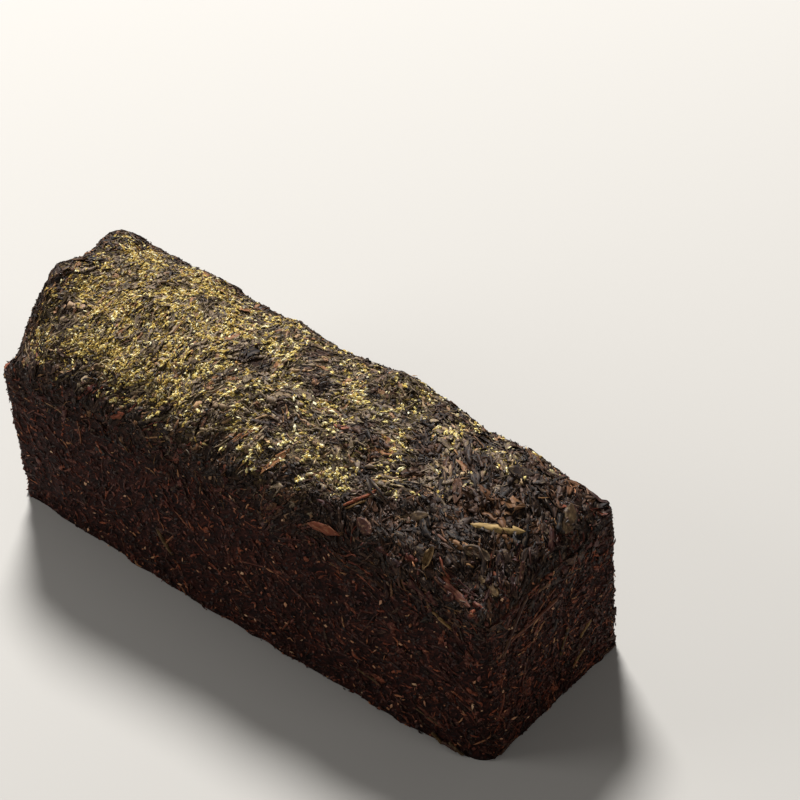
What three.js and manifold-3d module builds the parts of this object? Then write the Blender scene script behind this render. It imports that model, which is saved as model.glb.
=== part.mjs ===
// A brick of pressed fu tea: dark leaves and stalks rammed into a mould, so that it stands on a flat foot
// between upright walls, under a domed crown where the leaves lie loose. The crown is taller at the left end
// and rolls off at the right one.
// Millimetres: +X runs along the brick, +Y from its front wall to its back wall, +Z up.
import * as THREE from 'three';
import { mergeVertices } from 'three/addons/utils/BufferGeometryUtils.js';
import Module from 'manifold-3d';

const wasm = await Module();
wasm.setup();

// The loaf
const LENGTH = 240; // along the foot
const FOOT_WIDTH = 71; // across the foot, at the right end
const LEFT_EXTRA_WIDTH = 5.5; // what the left end is wider by
const BACK_LEAN = 3.5; // how far the back wall leans out by the time it reaches the shoulder
const LEFT_SKEW = 5; // how far the left end runs out of square at its back corner
const SHOULDER = 65.5; // height of the walls, where the crown starts
const RISE = { left: 28, right: 21 }; // height of the crown over the shoulder, at each end
const ROLL = { left: 11, right: 53, front: 44, back: 24 }; // from each edge to where the crown levels out
const END_ROUNDNESS = 2.2; // power of the superellipse that the crown follows at the ends, and
const SIDE_ROUNDNESS = 2; // along the sides
const CORNER_RADIUS = 6; // of the upright corners
// How far the front wall's foot swells out, how far from each end it takes to do so, and along what superellipse
const BELLY = { out: 6.5, left: 150, leftPower: 1.3, right: 16, rightPower: 2 };
const LUMPS = [
  { x: -117, fromFront: 11, radius: 14, height: -9 }, // the left front corner is pressed in
  { x: -113, fromFront: 30, radius: 13, height: 5 }, // a thick wad of leaf beside it
  { x: 118, fromFront: 68, radius: 15, height: -4 }, // the right back corner has crumbled away
  { x: 34, fromFront: 66, radius: 12, height: 7 }, // a wad on the back edge, between two dips
  { x: 14, fromFront: 66, radius: 11, height: -2 },
  { x: 66, fromFront: 66, radius: 14, height: -1.5 },
  { x: -42, fromFront: 62, radius: 13, height: -3.5 }, // a fold in the crown
  { x: -100, fromFront: 66, radius: 12, height: -2 },
];

// The loaf's surface
const STEPS = { along: 40, across: 15, up: 9 }; // facets each way
const EDGE_CROWDING = 0.6; // 0 spaces the facets evenly, 1 crowds them at the edges
const WAVES = 16; // of the rammed surface's unevenness
const WAVE_LENGTH = { shortest: 13, longest: 34 };
const UNEVENNESS = { wall: 0.6, crown: 0.9 };
const LOOSENING = 9; // how far either side of the shoulder the tight wall passes into the loose crown
const GOLDEN_ANGLE = Math.PI * (3 - Math.sqrt(5));
const UNDER_FOOT = 3; // what is cut away below to leave the foot flat

// The leaves and stalks that stand out of it
const SEED = 20;
const LEAF = { length: [9, 20], width: [3.6, 7.2], thickness: [1.3, 2], curl: 0.9, sides: 4, segments: 4 };
const STALK = { length: [18, 38], radius: [0.7, 1.05], bow: 1, sides: 5, segments: 2 };
// How deep a piece's middle lies under the surface, less than 0 where it stands over it
const SINK = { wallLeaf: -0.2, crownLeaf: -0.5, stalk: -0.1 };
const LEAVES_ON = { crown: 50, front: 20, back: 20, left: 8, right: 9 };
const STALKS_ON = { crown: 4, front: 4, back: 4, left: 2, right: 2 };
const ALONG_BRICK = 0.55; // how far the pieces keep to the brick's length, from 0 for any way to 1
const LIFT = 0.2; // steepest tilt of a piece out of the surface, in radians

// The pieces that a look at this brick picks out. A place is two shares of its face, from -1 to 1: along the
// brick, or front to back on an end, and then front to back on the crown, or up on a wall.
const OWN_LEAVES = [
  { face: 'crown', at: [0.85, -0.23], turn: 0.55, length: 23, width: 6, sink: -0.7 }, // the pale broken leaf
  { face: 'crown', at: [0.84, -0.88], turn: -0.6, length: 14, width: 6, sink: -0.5 }, // a rolled shred
  { face: 'crown', at: [0.38, -0.96], turn: -0.2, length: 16, width: 5, sink: -0.5 }, // the red shred
  // strays along the foot
  { face: 'front', at: [0.9, -0.94], turn: -0.25, length: 15, width: 6, sink: -1.2 },
  { face: 'front', at: [0.8, -0.96], turn: 0.3, length: 11, width: 5, sink: -1 },
  { face: 'right', at: [0.88, -0.92], turn: 0.4, length: 12, width: 6, sink: -1.4 },
  { face: 'right', at: [0.6, -0.95], turn: -0.3, length: 9, width: 5, sink: -0.8 },
];
const OWN_STALKS = [
  // across the right end
  { face: 'right', at: [-0.48, 0.57], turn: 0.07, length: 40, radius: 0.8, sink: -0.4 },
  { face: 'right', at: [-0.5, 0.95], turn: 0.3, length: 29, radius: 0.8, sink: -0.3 },
  { face: 'front', at: [0.83, 0.88], turn: -0.31, length: 14, radius: 0.9, sink: -0.3 },
];

const TEA = new THREE.MeshStandardMaterial({ color: '#2c231d', roughness: 0.85, metalness: 0 });

// mulberry32, so that the brick is the same each time
let state = SEED;
function random() {
  state = (state + 0x6d2b79f5) | 0;
  let t = Math.imul(state ^ (state >>> 15), 1 | state);
  t = (t + Math.imul(t ^ (t >>> 7), 61 | t)) ^ t;
  return ((t ^ (t >>> 14)) >>> 0) / 2 ** 32;
}
const between = ([low, high]) => low + (high - low) * random();
const swing = (amount) => amount * (2 * random() - 1);

// 0 at the edge, 1 at `reach` from it, along a superellipse
function rolled(distance, reach, power) {
  const left = THREE.MathUtils.clamp(1 - distance / reach, 0, 1);
  return (1 - left ** power) ** (1 / power);
}

function widthAt(x, z) {
  const toLeft = 0.5 - x / LENGTH;
  return FOOT_WIDTH + LEFT_EXTRA_WIDTH * toLeft + BACK_LEAN * Math.min(z / SHOULDER, 1);
}

function crownAt(x, fromFront) {
  const toLeft = 0.5 - x / LENGTH;
  const rise = RISE.right + (RISE.left - RISE.right) * toLeft;
  const fromBack = widthAt(x, SHOULDER) - fromFront;
  const shares = [
    rolled(LENGTH / 2 + x, ROLL.left, END_ROUNDNESS),
    rolled(LENGTH / 2 - x, ROLL.right, END_ROUNDNESS),
    rolled(fromFront, ROLL.front, SIDE_ROUNDNESS),
    rolled(fromBack, ROLL.back, SIDE_ROUNDNESS),
  ];
  let height = shares.reduce((product, share) => product * share, rise);
  for (const lump of LUMPS) {
    const distance = Math.hypot(x - lump.x, fromFront - lump.fromFront);
    height += lump.height * Math.exp(-1.5 * (distance / lump.radius) ** 2);
  }
  return SHOULDER + Math.max(height, 0);
}

// A smooth unevenness of about -1 to 1: waves whose directions wind evenly round a sphere
function unevenness(point, start) {
  let sum = 0;
  for (let i = 0; i < WAVES; i++) {
    const share = (i + 0.5) / WAVES;
    const turn = GOLDEN_ANGLE * (i + start);
    const rise = 1 - 2 * share;
    const reach = Math.sqrt(1 - rise * rise);
    const along = point.x * reach * Math.cos(turn) + point.y * reach * Math.sin(turn) + point.z * rise;
    const length = WAVE_LENGTH.shortest + (WAVE_LENGTH.longest - WAVE_LENGTH.shortest) * ((share * 7) % 1);
    sum += Math.sin((2 * Math.PI * along) / length + turn);
  }
  return sum / Math.sqrt(WAVES);
}

// A point of the unit box, a and b from -1 to 1 and c from 0 at the foot to 1 at the crown, on the loaf. The
// box's columns are stretched up to the crown, then its upright corners are drawn in onto an arc.
function onLoaf(a, b, c) {
  let x = (a * LENGTH) / 2;
  const shareAcross = (b + 1) / 2;
  const top = crownAt(x, shareAcross * widthAt(x, SHOULDER));
  const z = -UNDER_FOOT + c * (top + UNDER_FOOT);
  const width = widthAt(x, z);
  let fromFront = shareAcross * width;
  const cornerX = Math.abs(x) - (LENGTH / 2 - CORNER_RADIUS);
  const cornerY = Math.abs(fromFront - width / 2) - (width / 2 - CORNER_RADIUS);
  if (cornerX > 0 && cornerY > 0) {
    const pull = 1 - Math.max(cornerX, cornerY) / Math.hypot(cornerX, cornerY);
    x -= Math.sign(x) * cornerX * pull;
    fromFront -= Math.sign(fromFront - width / 2) * cornerY * pull;
  }
  x -= LEFT_SKEW * (fromFront / width) * (0.5 - x / LENGTH);
  const fromLeft = rolled(LENGTH / 2 + x, BELLY.left, BELLY.leftPower);
  const fromRight = rolled(LENGTH / 2 - x, BELLY.right, BELLY.rightPower);
  const swelling = BELLY.out * fromLeft * fromRight;
  fromFront -= swelling * (1 - fromFront / width) * (1 - Math.min(z / SHOULDER, 1) ** 2);
  const point = new THREE.Vector3(x, fromFront - FOOT_WIDTH / 2, z);
  const isCrown = THREE.MathUtils.smoothstep(z, SHOULDER - LOOSENING, SHOULDER + LOOSENING);
  const amount = THREE.MathUtils.lerp(UNEVENNESS.wall, UNEVENNESS.crown, isCrown);
  const push = new THREE.Vector3(unevenness(point, 0), unevenness(point, 40), unevenness(point, 80));
  if (z < 0) push.z = 0;
  return point.addScaledVector(push, amount);
}

// Each face of the box, as its own two directions
const FACES = {
  crown: (s, t) => onLoaf(s, t, 1),
  front: (s, t) => onLoaf(s, -1, (t + 1) / 2),
  back: (s, t) => onLoaf(-s, 1, (t + 1) / 2),
  left: (s, t) => onLoaf(-1, -s, (t + 1) / 2),
  right: (s, t) => onLoaf(1, s, (t + 1) / 2),
};

function toManifold(geometry) {
  geometry.deleteAttribute('normal');
  geometry.deleteAttribute('uv');
  const merged = mergeVertices(geometry);
  const vertProperties = new Float32Array(merged.attributes.position.array);
  const triVerts = new Uint32Array(merged.index.array);
  return new wasm.Manifold(new wasm.Mesh({ numProp: 3, vertProperties, triVerts }));
}

const crowd = (s) => THREE.MathUtils.lerp(s, 1.5 * s - 0.5 * s ** 3, EDGE_CROWDING);

function loaf() {
  const box = new THREE.BoxGeometry(2, 2, 1, STEPS.along, STEPS.across, STEPS.up);
  const spot = box.attributes.position;
  for (let i = 0; i < spot.count; i++) {
    const point = onLoaf(crowd(spot.getX(i)), crowd(spot.getY(i)), spot.getZ(i) + 0.5);
    spot.setXYZ(i, point.x, point.y, point.z);
  }
  return toManifold(box);
}

// A leaf is a ball drawn out flat along X, bent so that its tips dip, and waved
function leafGeometry(length, width, thickness) {
  const leaf = new THREE.SphereGeometry(1, LEAF.sides, LEAF.segments);
  leaf.rotateZ(Math.PI / 2).scale(length / 2, width / 2, thickness / 2);
  const spot = leaf.attributes.position;
  const wave = swing(0.5);
  for (let i = 0; i < spot.count; i++) {
    const share = spot.getX(i) / (length / 2);
    const bend = -LEAF.curl * share * share * (length / LEAF.length[1]) + wave * Math.sin(3 * share);
    spot.setZ(i, spot.getZ(i) + bend);
  }
  return leaf;
}

// A stalk is a thin tapered rod along X, bowed so that its ends dip
function stalkGeometry(length, radius) {
  const stalk = new THREE.CylinderGeometry(radius * 0.75, radius, length, STALK.sides, STALK.segments);
  stalk.rotateZ(Math.PI / 2);
  const spot = stalk.attributes.position;
  for (let i = 0; i < spot.count; i++) {
    const share = spot.getX(i) / (length / 2);
    spot.setZ(i, spot.getZ(i) - (STALK.bow * share * share * length) / STALK.length[1]);
  }
  return stalk;
}

// The directions of a face at one place: along and across it, as long as a unit step is there, and out of it
function directions(face, s, t) {
  const surface = FACES[face];
  const small = 0.01;
  const step = (ds, dt) => surface(s + ds, t + dt).sub(surface(s - ds, t - dt)).divideScalar(2 * small);
  const along = step(small, 0);
  const across = step(0, small);
  return { along, across, out: new THREE.Vector3().crossVectors(along, across).normalize() };
}

// Lays a piece on a face: its flat side along the surface, turned in it, tilted a little, sunk into it, and
// then every point moved with the surface under it. What would hang over the face's edge is drawn in to
// `spill` of its reach.
function laid(geometry, { face, at: [s, t], turn, tilt = 0, sink = 0, spill = 0.3 }) {
  const middle = FACES[face](s, t);
  const { along, across, out } = directions(face, s, t);
  const ahead = along.clone().normalize();
  const sideways = new THREE.Vector3().crossVectors(out, ahead);
  const spot = geometry.rotateY(tilt).rotateZ(turn).attributes.position;
  for (let i = 0; i < spot.count; i++) {
    const flat = middle.clone().addScaledVector(ahead, spot.getX(i)).addScaledVector(sideways, spot.getY(i));
    let [underS, underT] = [s, t];
    const gap = new THREE.Vector3();
    for (let round = 0; round < 4; round++) {
      gap.subVectors(flat, FACES[face](underS, underT));
      gap.addScaledVector(out, -gap.dot(out));
      underS = THREE.MathUtils.clamp(underS + gap.dot(along) / along.lengthSq(), -1, 1);
      underT = THREE.MathUtils.clamp(underT + gap.dot(across) / across.lengthSq(), -1, 1);
    }
    const under = FACES[face](underS, underT);
    const over = new THREE.Vector3().subVectors(flat, under);
    over.addScaledVector(out, -over.dot(out)).multiplyScalar(spill);
    const outHere = directions(face, 0.98 * underS, 0.98 * underT).out;
    const point = under.add(over).addScaledVector(outHere, spot.getZ(i) - sink);
    spot.setXYZ(i, point.x, point.y, point.z);
  }
  return toManifold(geometry);
}

// Places spread evenly over a face by a two-way golden ratio, each moved a little
function spread(count) {
  const places = [];
  for (let i = 1; i <= count; i++) {
    const s = ((i * 0.7548776662) % 1) * 2 - 1;
    const t = ((i * 0.569840291) % 1) * 2 - 1;
    places.push([0.95 * s + swing(0.03), 0.93 * t + swing(0.03)]);
  }
  return places;
}

// Any way round, drawn towards the brick's length
function way() {
  const any = swing(Math.PI / 2);
  return any * (1 - ALONG_BRICK * random());
}

function pieces() {
  const made = [];
  for (const [face, count] of Object.entries(LEAVES_ON)) {
    const sink = face === 'crown' ? SINK.crownLeaf : SINK.wallLeaf;
    for (const at of spread(count)) {
      const leaf = leafGeometry(between(LEAF.length), between(LEAF.width), between(LEAF.thickness));
      made.push(laid(leaf, { face, at, turn: way(), tilt: swing(LIFT), sink }));
    }
  }
  for (const [face, count] of Object.entries(STALKS_ON)) {
    for (const [s, t] of spread(count)) {
      const stalk = stalkGeometry(between(STALK.length), between(STALK.radius));
      made.push(laid(stalk, { face, at: [0.8 * t, 0.8 * s], turn: way(), sink: SINK.stalk }));
    }
  }
  for (const own of OWN_LEAVES) {
    made.push(laid(leafGeometry(own.length, own.width, LEAF.thickness[1]), own));
  }
  for (const own of OWN_STALKS) {
    made.push(laid(stalkGeometry(own.length, own.radius), own));
  }
  return made;
}

// Everything below the foot
function underFoot() {
  const depth = 20;
  const slab = new THREE.BoxGeometry(LENGTH * 1.5, FOOT_WIDTH * 3, depth);
  return toManifold(slab.translate(0, 0, -depth / 2));
}

function brickGeometry() {
  const pressed = pieces().reduce((whole, piece) => whole.add(piece), loaf());
  const whole = pressed.subtract(underFoot()).decompose();
  whole.sort((one, other) => other.volume() - one.volume());
  const mesh = whole[0].getMesh();
  const geometry = new THREE.BufferGeometry();
  geometry.setAttribute('position', new THREE.BufferAttribute(mesh.vertProperties, mesh.numProp));
  geometry.setIndex(new THREE.BufferAttribute(mesh.triVerts, 1));
  geometry.computeBoundingBox();
  const { min, max } = geometry.boundingBox;
  geometry.translate(-(min.x + max.x) / 2, -(min.y + max.y) / 2, -min.z); // the origin is the foot's middle
  return geometry;
}

const brick = new THREE.Mesh(brickGeometry(), TEA);
brick.name = 'tea_brick';

const part = new THREE.Group();
part.add(brick);

export default part;
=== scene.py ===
import math
import bpy
import numpy as np
from mathutils import Matrix, Vector
from mathutils.bvhtree import BVHTree


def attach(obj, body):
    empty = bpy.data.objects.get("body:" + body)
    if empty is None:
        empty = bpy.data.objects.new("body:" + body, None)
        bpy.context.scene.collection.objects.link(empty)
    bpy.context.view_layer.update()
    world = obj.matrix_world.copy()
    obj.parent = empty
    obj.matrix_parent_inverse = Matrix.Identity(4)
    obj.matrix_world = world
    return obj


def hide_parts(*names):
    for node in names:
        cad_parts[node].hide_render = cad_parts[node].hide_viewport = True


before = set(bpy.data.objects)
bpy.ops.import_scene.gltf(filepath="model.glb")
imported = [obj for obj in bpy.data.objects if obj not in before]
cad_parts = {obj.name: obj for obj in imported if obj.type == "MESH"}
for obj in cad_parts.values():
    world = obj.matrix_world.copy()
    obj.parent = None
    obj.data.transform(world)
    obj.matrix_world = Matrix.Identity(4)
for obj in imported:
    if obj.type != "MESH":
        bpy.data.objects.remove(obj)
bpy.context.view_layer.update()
draw = np.random.default_rng(11)
goldenAngle = math.pi * (3 - math.sqrt(5))
print("frame loaded")


# The view: lens and place of the camera, which looks down on the brick's front wall and right end

view = {
    "lens": 150,  # mm, on a sensor 36 mm wide
    "azimuth": 44.03,  # degrees, 0 looks along +Y
    "elevation": 41.78,
    "roll": -6.08,
    "distance": 1.28739,  # m, to the point that it looks at
    "target": (0.00155, 0.05815, 0.04174),
}


def pointing(azimuth, elevation):
    # the unit vector at two angles in radians: azimuth 0 is towards -Y and turns to +X, elevation is up
    return Vector((math.sin(azimuth) * math.cos(elevation), -math.cos(azimuth) * math.cos(elevation),
                   math.sin(elevation)))


def placeCamera():
    # its back points away from the target, along azimuth and elevation, and the roll turns its two sides
    azimuth, elevation, roll = (math.radians(view[key]) for key in ("azimuth", "elevation", "roll"))
    back = pointing(azimuth, elevation)
    level = Vector((math.cos(azimuth), math.sin(azimuth), 0))
    upright = back.cross(level)
    right = math.cos(roll) * level + math.sin(roll) * upright
    up = -math.sin(roll) * level + math.cos(roll) * upright
    camera = bpy.data.objects.new("camera", bpy.data.cameras.new("camera"))
    camera.data.lens = view["lens"]
    camera.data.sensor_width = 36
    camera.data.clip_start = 0.01
    place = Matrix((right, up, back)).transposed().to_4x4()
    place.translation = Vector(view["target"]) + back * view["distance"]
    camera.matrix_world = place
    bpy.context.collection.objects.link(camera)
    bpy.context.scene.camera = camera


placeCamera()


# The light: a broad soft lamp over and behind the brick, so that the crown shines and the walls stay dark,
# and two weak ones for the front wall and the right end

studio = {
    "lamps": [
        {"name": "behind", "azimuth": 226, "elevation": 46, "distance": 2.6, "size": 0.7, "watts": 150},
        {"name": "front", "azimuth": 318, "elevation": 30, "distance": 0.85, "size": 0.4, "watts": 1.7},
        {"name": "end", "azimuth": 95, "elevation": 38, "distance": 1.6, "size": 0.5, "watts": 2.2},
    ],
    "air": (1, 0.97, 0.94, 0.14),  # colour and strength of the light from all around
    "floor": "#b0ada8",
    "floorRoughness": 0.95,
    "floorSpecular": 0.05,
    "floorSize": 3,  # m
}


def linear(tone, alpha=1.0):
    # a colour written #rrggbb, as light: a straight line up to 0.04, then a power of 2.4
    parts = np.array([int(tone[i:i + 2], 16) for i in (1, 3, 5)]) / 255
    light = np.where(parts <= 0.04045, parts / 12.92, ((parts + 0.055) / 1.055) ** 2.4)
    return (*[float(part) for part in light], alpha)


def newMaterial(name):
    # a material with only a shader and an output in its tree, and that shader
    material = bpy.data.materials.new(name)
    material.use_nodes = True
    return material, material.node_tree.nodes["Principled BSDF"]


def lightUp():
    # disks that face the target, and an even light from all around
    target = Vector(view["target"])
    for lamp in studio["lamps"]:
        away = pointing(math.radians(lamp["azimuth"]), math.radians(lamp["elevation"]))
        data = bpy.data.lights.new(lamp["name"], "AREA")
        data.shape = "DISK"
        data.size = lamp["size"]
        data.energy = lamp["watts"]
        light = bpy.data.objects.new(lamp["name"], data)
        light.location = target + away * lamp["distance"]
        light.rotation_euler = away.to_track_quat("Z", "Y").to_euler()
        bpy.context.collection.objects.link(light)
    world = bpy.data.worlds.new("air")
    world.use_nodes = True
    air = world.node_tree.nodes["Background"].inputs
    air["Color"].default_value = (*studio["air"][:3], 1)
    air["Strength"].default_value = studio["air"][3]
    bpy.context.scene.world = world
    bpy.context.scene.view_settings.view_transform = "Standard"


def layFloor():
    # one square at the height of the brick's foot
    half = studio["floorSize"] / 2
    corners = [(-half, -half, 0), (half, -half, 0), (half, half, 0), (-half, half, 0)]
    mesh = bpy.data.meshes.new("floor")
    mesh.from_pydata(corners, [], [(0, 1, 2, 3)])
    floor = bpy.data.objects.new("floor", mesh)
    bpy.context.collection.objects.link(floor)
    material, shader = newMaterial("floor")
    shader.inputs["Base Color"].default_value = linear(studio["floor"])
    shader.inputs["Roughness"].default_value = studio["floorRoughness"]
    shader.inputs["Specular IOR Level"].default_value = studio["floorSpecular"]
    mesh.materials.append(material)


lightUp()
layFloor()
print("camera, light and floor placed")


# The loaf: the shape that the mould and the swelling leaves give the brick, in mm. +X runs along it, +Y from
# its front wall to its back wall. A place on it is x, the distance from the front wall, and the height.

loaf = {
    "length": 240,
    "footWidth": 71,  # at the right end
    "leftExtraWidth": 5.5,  # what the left end is wider by
    "backLean": 3.5,  # how far the back wall leans out by the time it reaches the shoulder
    "leftSkew": 5,  # how far the left end runs out of square at its back corner
    "shoulder": 65.5,  # height of the walls, where the crown starts
    "riseLeft": 28,  # height of the crown over the shoulder, at each end
    "riseRight": 21,
    "rollLeft": 11,  # from each edge to where the crown levels out
    "rollRight": 53,
    "rollFront": 44,
    "rollBack": 24,
    "endRoundness": 2.2,  # power of the superellipse that the crown follows at the ends
    "sideRoundness": 2,  # and along the sides
    "cornerRadius": 2.8,  # of the upright corners
    "belly": 6.5,  # how far the front wall's foot swells out
    "bellyLeft": 150,  # how far from each end it takes to do so, and the power of its superellipse
    "bellyLeftPower": 1.3,
    "bellyRight": 16,
    "bellyRightPower": 2,
    "middle": (2.0686, -0.5646, 0),  # from the mould's middle to the brick's own
    "loosening": 9,  # how far either side of the shoulder the tight wall passes into the loose crown
    # the walls' tones, darker than the dusty crown's, carried up the crown's steep lower slopes, are painted
    # shade there
    "mixingAndShade": (50, 80),  # heights between which the colours of the wall and of the crown mix
    "lumpFall": 1.5,  # how fast a lump falls off, by the square of the distance over its radius
    "clearance": 0.02,  # the least height of what isn't the foot itself
    # the unevenness of the ramming and of crumpled leaves, and how far each pushes the wall and the crown
    "broad": {"waves": 16, "shortest": 13, "longest": 34, "wall": 0.6, "crown": 0.9},
    "fine": {"waves": 24, "shortest": 3.5, "longest": 9, "wall": 0.1, "crown": 0.32},
}

lumps = [  # x, from the front, radius and height of a swelling, or less than 0 for a hollow
    (-117, 11, 14, -9),
    (-113, 30, 13, 5),
    (118, 68, 15, -4),
    (34, 66, 12, 7),
    (14, 66, 11, -2),
    (66, 66, 14, -1.5),
    (-42, 62, 13, -3.5),
    (-100, 66, 12, -2),
    (94.3, 35, 3.6, -3.2),  # two pits
    (54, 40.5, 3.4, -2.6),
]


def rolled(distance, reach, power):
    # 0 at the edge and 1 at `reach` from it, along a superellipse
    left = np.clip(1 - distance / reach, 0, 1)
    return (1 - left ** power) ** (1 / power)


def widthAt(x, z):
    # grows evenly towards the left end, and up the wall to the shoulder
    toLeft = 0.5 - x / loaf["length"]
    lean = np.minimum(z / loaf["shoulder"], 1)
    return loaf["footWidth"] + loaf["leftExtraWidth"] * toLeft + loaf["backLean"] * lean


def crownAt(x, fromFront):
    # the shoulder's height plus the rise, which falls to 0 at each edge, plus a bell for each lump
    toLeft = 0.5 - x / loaf["length"]
    half = loaf["length"] / 2
    height = loaf["riseRight"] + (loaf["riseLeft"] - loaf["riseRight"]) * toLeft
    height = height * rolled(half + x, loaf["rollLeft"], loaf["endRoundness"])
    height = height * rolled(half - x, loaf["rollRight"], loaf["endRoundness"])
    height = height * rolled(fromFront, loaf["rollFront"], loaf["sideRoundness"])
    fromBack = widthAt(x, loaf["shoulder"]) - fromFront
    height = height * rolled(fromBack, loaf["rollBack"], loaf["sideRoundness"])
    for lumpX, lumpFromFront, radius, rise in lumps:
        away = ((x - lumpX) ** 2 + (fromFront - lumpFromFront) ** 2) / radius ** 2
        height = height + rise * np.exp(-loaf["lumpFall"] * away)
    return loaf["shoulder"] + np.maximum(height, 0)


def unevenness(points, kind, start):
    # a sum of sine waves, about -1 to 1, whose directions wind evenly round a sphere from `start` turns on
    total = np.zeros(points.shape[:-1])
    for i in range(kind["waves"]):
        share = (i + 0.5) / kind["waves"]
        turn = goldenAngle * (i + start)
        rise = 1 - 2 * share
        reach = math.sqrt(1 - rise * rise)
        length = kind["shortest"] + (kind["longest"] - kind["shortest"]) * ((share * 7) % 1)
        way = np.array([reach * math.cos(turn), reach * math.sin(turn), rise]) * 2 * math.pi / length
        total += np.sin(points @ way + turn)
    return total / math.sqrt(kind["waves"])


def crownShare(z):
    # 0 on the walls, 1 on the crown, by a smooth step around the shoulder
    share = np.clip((z - loaf["shoulder"] + loaf["loosening"]) / (2 * loaf["loosening"]), 0, 1)
    return share * share * (3 - 2 * share)


def onLoaf(a, b, c):
    # a point of a box, a along and b across it from -1 to 1 and c up it from 0 to 1: its columns are
    # stretched up to the crown, its upright corners drawn in onto an arc, its left end skewed and its front
    # foot swollen, and the unevenness pushes it
    a, b, c = np.broadcast_arrays(a, b, c)
    x = a * loaf["length"] / 2
    shareAcross = (b + 1) / 2
    z = c * crownAt(x, shareAcross * widthAt(x, loaf["shoulder"]))
    width = widthAt(x, z)
    fromFront = shareAcross * width
    cornerX = np.abs(x) - (loaf["length"] / 2 - loaf["cornerRadius"])
    cornerY = np.abs(fromFront - width / 2) - (width / 2 - loaf["cornerRadius"])
    isCorner = (cornerX > 0) & (cornerY > 0)
    toArc = np.hypot(np.where(isCorner, cornerX, 1), np.where(isCorner, cornerY, 1))
    pull = np.where(isCorner, 1 - np.maximum(cornerX, cornerY) / toArc, 0)
    fromFront = fromFront - np.sign(fromFront - width / 2) * cornerY * pull
    x = x - np.sign(x) * cornerX * pull
    x = x - loaf["leftSkew"] * (fromFront / width) * (0.5 - x / loaf["length"])
    swelling = loaf["belly"] * rolled(loaf["length"] / 2 + x, loaf["bellyLeft"], loaf["bellyLeftPower"])
    swelling = swelling * rolled(loaf["length"] / 2 - x, loaf["bellyRight"], loaf["bellyRightPower"])
    upWall = np.clip(z / loaf["shoulder"], 0, 1)
    fromFront = fromFront - swelling * (1 - fromFront / width) * (1 - upWall ** 2)
    points = np.stack([x, fromFront - loaf["footWidth"] / 2, z], -1)
    onCrown = crownShare(z)
    push = np.zeros(points.shape)
    for kind in (loaf["broad"], loaf["fine"]):
        amount = kind["wall"] + (kind["crown"] - kind["wall"]) * onCrown
        for axis in range(3):
            push[..., axis] += amount * unevenness(points, kind, 40 * axis)
    points = points + push
    points[..., 2] = np.where(c == 0, 0, np.maximum(points[..., 2], loaf["clearance"]))
    return points


# each face of the box, as its own two directions s and t, both from -1 to 1
faceParts = {
    "crown": lambda s, t: (s, t, 1.0),
    "front": lambda s, t: (s, -1.0, (t + 1) / 2),
    "back": lambda s, t: (-s, 1.0, (t + 1) / 2),
    "left": lambda s, t: (-1.0, -s, (t + 1) / 2),
    "right": lambda s, t: (1.0, s, (t + 1) / 2),
}


def onFace(face, s, t):
    # the loaf's point at a place of one of its faces
    return onLoaf(*faceParts[face](s, t))


def directionsOn(face, s, t):
    # the face's two directions at a place, as long as a unit step is there, and the unit normal out of it
    small = 0.012
    along = (onFace(face, s + small, t) - onFace(face, s - small, t)) / (2 * small)
    across = (onFace(face, s, t + small) - onFace(face, s, t - small)) / (2 * small)
    out = np.cross(along, across)
    return along, across, out / np.linalg.norm(out, axis=-1, keepdims=True)


def toMetres(points):
    # from mm round the mould's middle to metres round the brick's own
    return (np.asarray(points) + loaf["middle"]) * 0.001


def addPiece(name, points, faces, loopUv, material, smooth=True, attributes=None):
    # a mesh from arrays: points, faces, one UV for each corner of a face, and named values for each point
    mesh = bpy.data.meshes.new(name)
    corners = np.concatenate([group.ravel() for group in faces])
    sizes = np.concatenate([np.full(len(group), group.shape[1]) for group in faces])
    starts = np.concatenate([[0], np.cumsum(sizes)[:-1]])
    mesh.vertices.add(len(points))
    mesh.vertices.foreach_set("co", toMetres(points).astype(np.float32).ravel())
    mesh.loops.add(len(corners))
    mesh.loops.foreach_set("vertex_index", corners.astype(np.int32))
    mesh.polygons.add(len(sizes))
    mesh.polygons.foreach_set("loop_start", starts.astype(np.int32))
    mesh.update(calc_edges=True)
    mesh.uv_layers.new(name="OFBake").data.foreach_set("uv", loopUv.astype(np.float32).ravel())
    for key, values in (attributes or {}).items():
        mesh.attributes.new(key, "FLOAT", "POINT").data.foreach_set("value", values.astype(np.float32))
    mesh.polygons.foreach_set("use_smooth", np.full(len(sizes), smooth))
    mesh.validate()
    mesh.materials.append(material)
    piece = bpy.data.objects.new(name, mesh)
    bpy.context.collection.objects.link(piece)
    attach(piece, "root")
    print(name, "has", int((sizes - 2).sum()), "triangles")
    return piece


# Node helpers

def fillIn(tree, node, inputs):
    # each input gets its value, or is linked to the output that is given for it
    for key, value in inputs.items():
        if isinstance(value, bpy.types.NodeSocket):
            tree.links.new(value, node.inputs[key])
        else:
            node.inputs[key].default_value = value


def addNode(tree, kind, inputs=None, **settings):
    # a node with its settings and its inputs
    node = tree.nodes.new(kind)
    for key, value in settings.items():
        setattr(node, key, value)
    fillIn(tree, node, inputs or {})
    return node


def rampOf(tree, amount, stops):
    # tones, or numbers as greys, at places from 0 to 1, picked by the amount
    ramp = addNode(tree, "ShaderNodeValToRGB", {0: amount})
    elements = ramp.color_ramp.elements
    for place, tone in stops[1:-1]:
        elements.new(place)
    for element, (place, tone) in zip(elements, stops):
        element.position = place
        element.color = linear(tone) if isinstance(tone, str) else (tone, tone, tone, 1)
    return ramp.outputs[0]


def mathOn(tree, operation, *values):
    # one sum on numbers and outputs
    return addNode(tree, "ShaderNodeMath", dict(enumerate(values)), operation=operation).outputs[0]


def mixed(tree, amount, first, second, blend="MIX"):
    # the second colour laid on the first by the amount
    inputs = {0: amount, 6: first, 7: second}
    return addNode(tree, "ShaderNodeMix", inputs, data_type="RGBA", blend_type=blend).outputs[2]


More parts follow.
